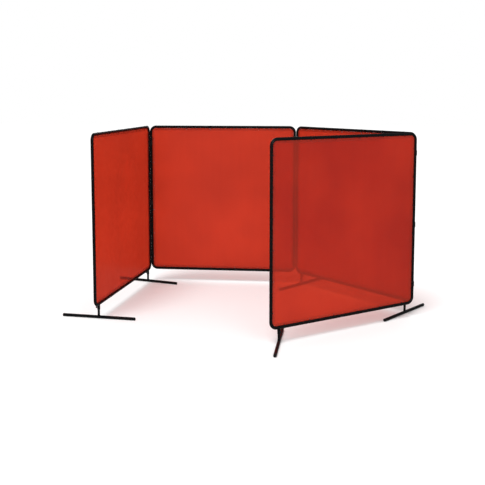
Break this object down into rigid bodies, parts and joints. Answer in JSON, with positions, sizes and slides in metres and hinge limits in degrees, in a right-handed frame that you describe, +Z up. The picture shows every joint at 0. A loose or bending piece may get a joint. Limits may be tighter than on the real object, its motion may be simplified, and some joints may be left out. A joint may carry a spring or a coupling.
{
  "type": "welding curtain screen",
  "caption": "Folding welding screen of square black tube frames with translucent red-orange vinyl curtains, linked by hinge clips and standing on swivelling T-feet.",
  "frame": {"origin": "middle of the rectangular footprint that the standing screen takes up, on the floor", "axes": "+X to the right along the back panel as seen from inside the bay, +Y from the open side towards the back panel, +Z up"},
  "size_m": [3.899, 3.0002, 1.9679],
  "materials": {
    "frame_enamel": "glossy black baked enamel on steel tube, lightly rubbed on edges",
    "curtain_vinyl": "translucent red-orange welding vinyl, smooth, with a folded and stitched hem",
    "sleeve_steel": "bare drawn steel sleeve, hidden inside the stiles",
    "black_screw": "black oxide steel screw, satin",
    "black_nylon": "moulded black nylon, fine matt grain"
  },
  "bodies": {
    "panel_1": {"frame_top_1": "frame_enamel", "frame_bottom_1": "frame_enamel", "curtain_1": "curtain_vinyl", "splice_sleeve_1_left": "sleeve_steel", "splice_screw_1_left": "black_screw", "splice_sleeve_1_right": "sleeve_steel", "splice_screw_1_right": "black_screw"},
    "panel_2": {"frame_top_2": "frame_enamel", "frame_bottom_2": "frame_enamel", "curtain_2": "curtain_vinyl", "splice_sleeve_2_left": "sleeve_steel", "splice_screw_2_left": "black_screw", "splice_sleeve_2_right": "sleeve_steel", "splice_screw_2_right": "black_screw"},
    "panel_3": {"frame_top_3": "frame_enamel", "frame_bottom_3": "frame_enamel", "curtain_3": "curtain_vinyl", "splice_sleeve_3_left": "sleeve_steel", "splice_screw_3_left": "black_screw", "splice_sleeve_3_right": "sleeve_steel", "splice_screw_3_right": "black_screw"},
    "panel_4": {"frame_top_4": "frame_enamel", "frame_bottom_4": "frame_enamel", "curtain_4": "curtain_vinyl", "splice_sleeve_4_left": "sleeve_steel", "splice_screw_4_left": "black_screw", "splice_sleeve_4_right": "sleeve_steel", "splice_screw_4_right": "black_screw"},
    "clips_12": {"hinge_clip_12_top": "black_nylon", "hinge_clip_12_middle": "black_nylon", "hinge_clip_12_bottom": "black_nylon"},
    "clips_23": {"hinge_clip_23_top": "black_nylon", "hinge_clip_23_middle": "black_nylon", "hinge_clip_23_bottom": "black_nylon"},
    "clips_34": {"hinge_clip_34_top": "black_nylon", "hinge_clip_34_middle": "black_nylon", "hinge_clip_34_bottom": "black_nylon"},
    "foot_1_left": {"foot_1_left": "frame_enamel", "foot_cap_1_left_outer": "black_nylon", "foot_cap_1_left_inner": "black_nylon"},
    "clamp_knob_1_left": {"clamp_knob_1_left": "black_nylon"},
    "foot_1_right": {"foot_1_right": "frame_enamel", "foot_cap_1_right_outer": "black_nylon", "foot_cap_1_right_inner": "black_nylon"},
    "clamp_knob_1_right": {"clamp_knob_1_right": "black_nylon"},
    "foot_3_left": {"foot_3_left": "frame_enamel", "foot_cap_3_left_outer": "black_nylon", "foot_cap_3_left_inner": "black_nylon"},
    "clamp_knob_3_left": {"clamp_knob_3_left": "black_nylon"},
    "foot_3_right": {"foot_3_right": "frame_enamel", "foot_cap_3_right_outer": "black_nylon", "foot_cap_3_right_inner": "black_nylon"},
    "clamp_knob_3_right": {"clamp_knob_3_right": "black_nylon"},
    "foot_4_right": {"foot_4_right": "frame_enamel", "foot_cap_4_right_outer": "black_nylon", "foot_cap_4_right_inner": "black_nylon"},
    "clamp_knob_4_right": {"clamp_knob_4_right": "black_nylon"}
  },
  "joints": [
    {"name": "grip_21", "type": "hinge", "parent": "panel_2", "child": "clips_12", "pos_m": [-1.33915, 1.25347, 1.0534], "axis": [0, 0, 1], "range_deg": [-102, 18]},
    {"name": "grip_12", "type": "hinge", "parent": "clips_12", "child": "panel_1", "pos_m": [-1.36625, 1.22907, 1.0534], "axis": [0, 0, 1], "range_deg": [-102, 18]},
    {"name": "grip_23", "type": "hinge", "parent": "panel_2", "child": "clips_23", "pos_m": [0.4579, 1.25347, 1.0534], "axis": [0, 0, 1], "range_deg": [-30, 82.5]},
    {"name": "grip_32", "type": "hinge", "parent": "clips_23", "child": "panel_3", "pos_m": [0.4916, 1.23952, 1.0534], "axis": [0, 0, 1], "range_deg": [-30, 82.5]},
    {"name": "grip_34", "type": "hinge", "parent": "panel_3", "child": "clips_34", "pos_m": [1.7623, -0.03119, 1.0534], "axis": [0, 0, -1], "range_deg": [-109, 11]},
    {"name": "grip_43", "type": "hinge", "parent": "clips_34", "child": "panel_4", "pos_m": [1.75976, -0.06757, 1.0534], "axis": [0, 0, -1], "range_deg": [-109, 11]},
    {"name": "foot_1_left_swivel", "type": "hinge", "parent": "panel_1", "child": "foot_1_left", "pos_m": [-1.54448, -0.46664, 0.09], "axis": [0, 0, 1], "continuous": true},
    {"name": "clamp_knob_1_left_turn", "type": "hinge", "parent": "panel_1", "child": "clamp_knob_1_left", "pos_m": [-1.54448, -0.46664, 0.11762], "axis": [-0.9945, 0.1045, 0], "continuous": true},
    {"name": "foot_1_right_swivel", "type": "hinge", "parent": "panel_1", "child": "foot_1_right", "pos_m": [-1.37586, 1.13757, 0.09], "axis": [0, 0, 1], "continuous": true},
    {"name": "clamp_knob_1_right_turn", "type": "hinge", "parent": "panel_1", "child": "clamp_knob_1_right", "pos_m": [-1.37586, 1.13757, 0.11762], "axis": [-0.9945, 0.1045, 0], "continuous": true},
    {"name": "foot_3_left_swivel", "type": "hinge", "parent": "panel_3", "child": "foot_3_left", "pos_m": [0.55665, 1.17446, 0.09], "axis": [0, 0, 1], "continuous": true},
    {"name": "clamp_knob_3_left_turn", "type": "hinge", "parent": "panel_3", "child": "clamp_knob_3_left", "pos_m": [0.55665, 1.17446, 0.11762], "axis": [0.7071, 0.7071, 0], "continuous": true},
    {"name": "foot_3_right_swivel", "type": "hinge", "parent": "panel_3", "child": "foot_3_right", "pos_m": [1.69725, 0.03386, 0.09], "axis": [0, 0, 1], "continuous": true},
    {"name": "clamp_knob_3_right_turn", "type": "hinge", "parent": "panel_3", "child": "clamp_knob_3_right", "pos_m": [1.69725, 0.03386, 0.11762], "axis": [0.7071, 0.7071, 0], "continuous": true},
    {"name": "foot_4_right_swivel", "type": "hinge", "parent": "panel_4", "child": "foot_4_right", "pos_m": [0.39805, -1.0937, 0.09], "axis": [0, 0, 1], "continuous": true},
    {"name": "clamp_knob_4_right_turn", "type": "hinge", "parent": "panel_4", "child": "clamp_knob_4_right", "pos_m": [0.39805, -1.0937, 0.11762], "axis": [0.6018, -0.7986, 0], "continuous": true}
  ]
}
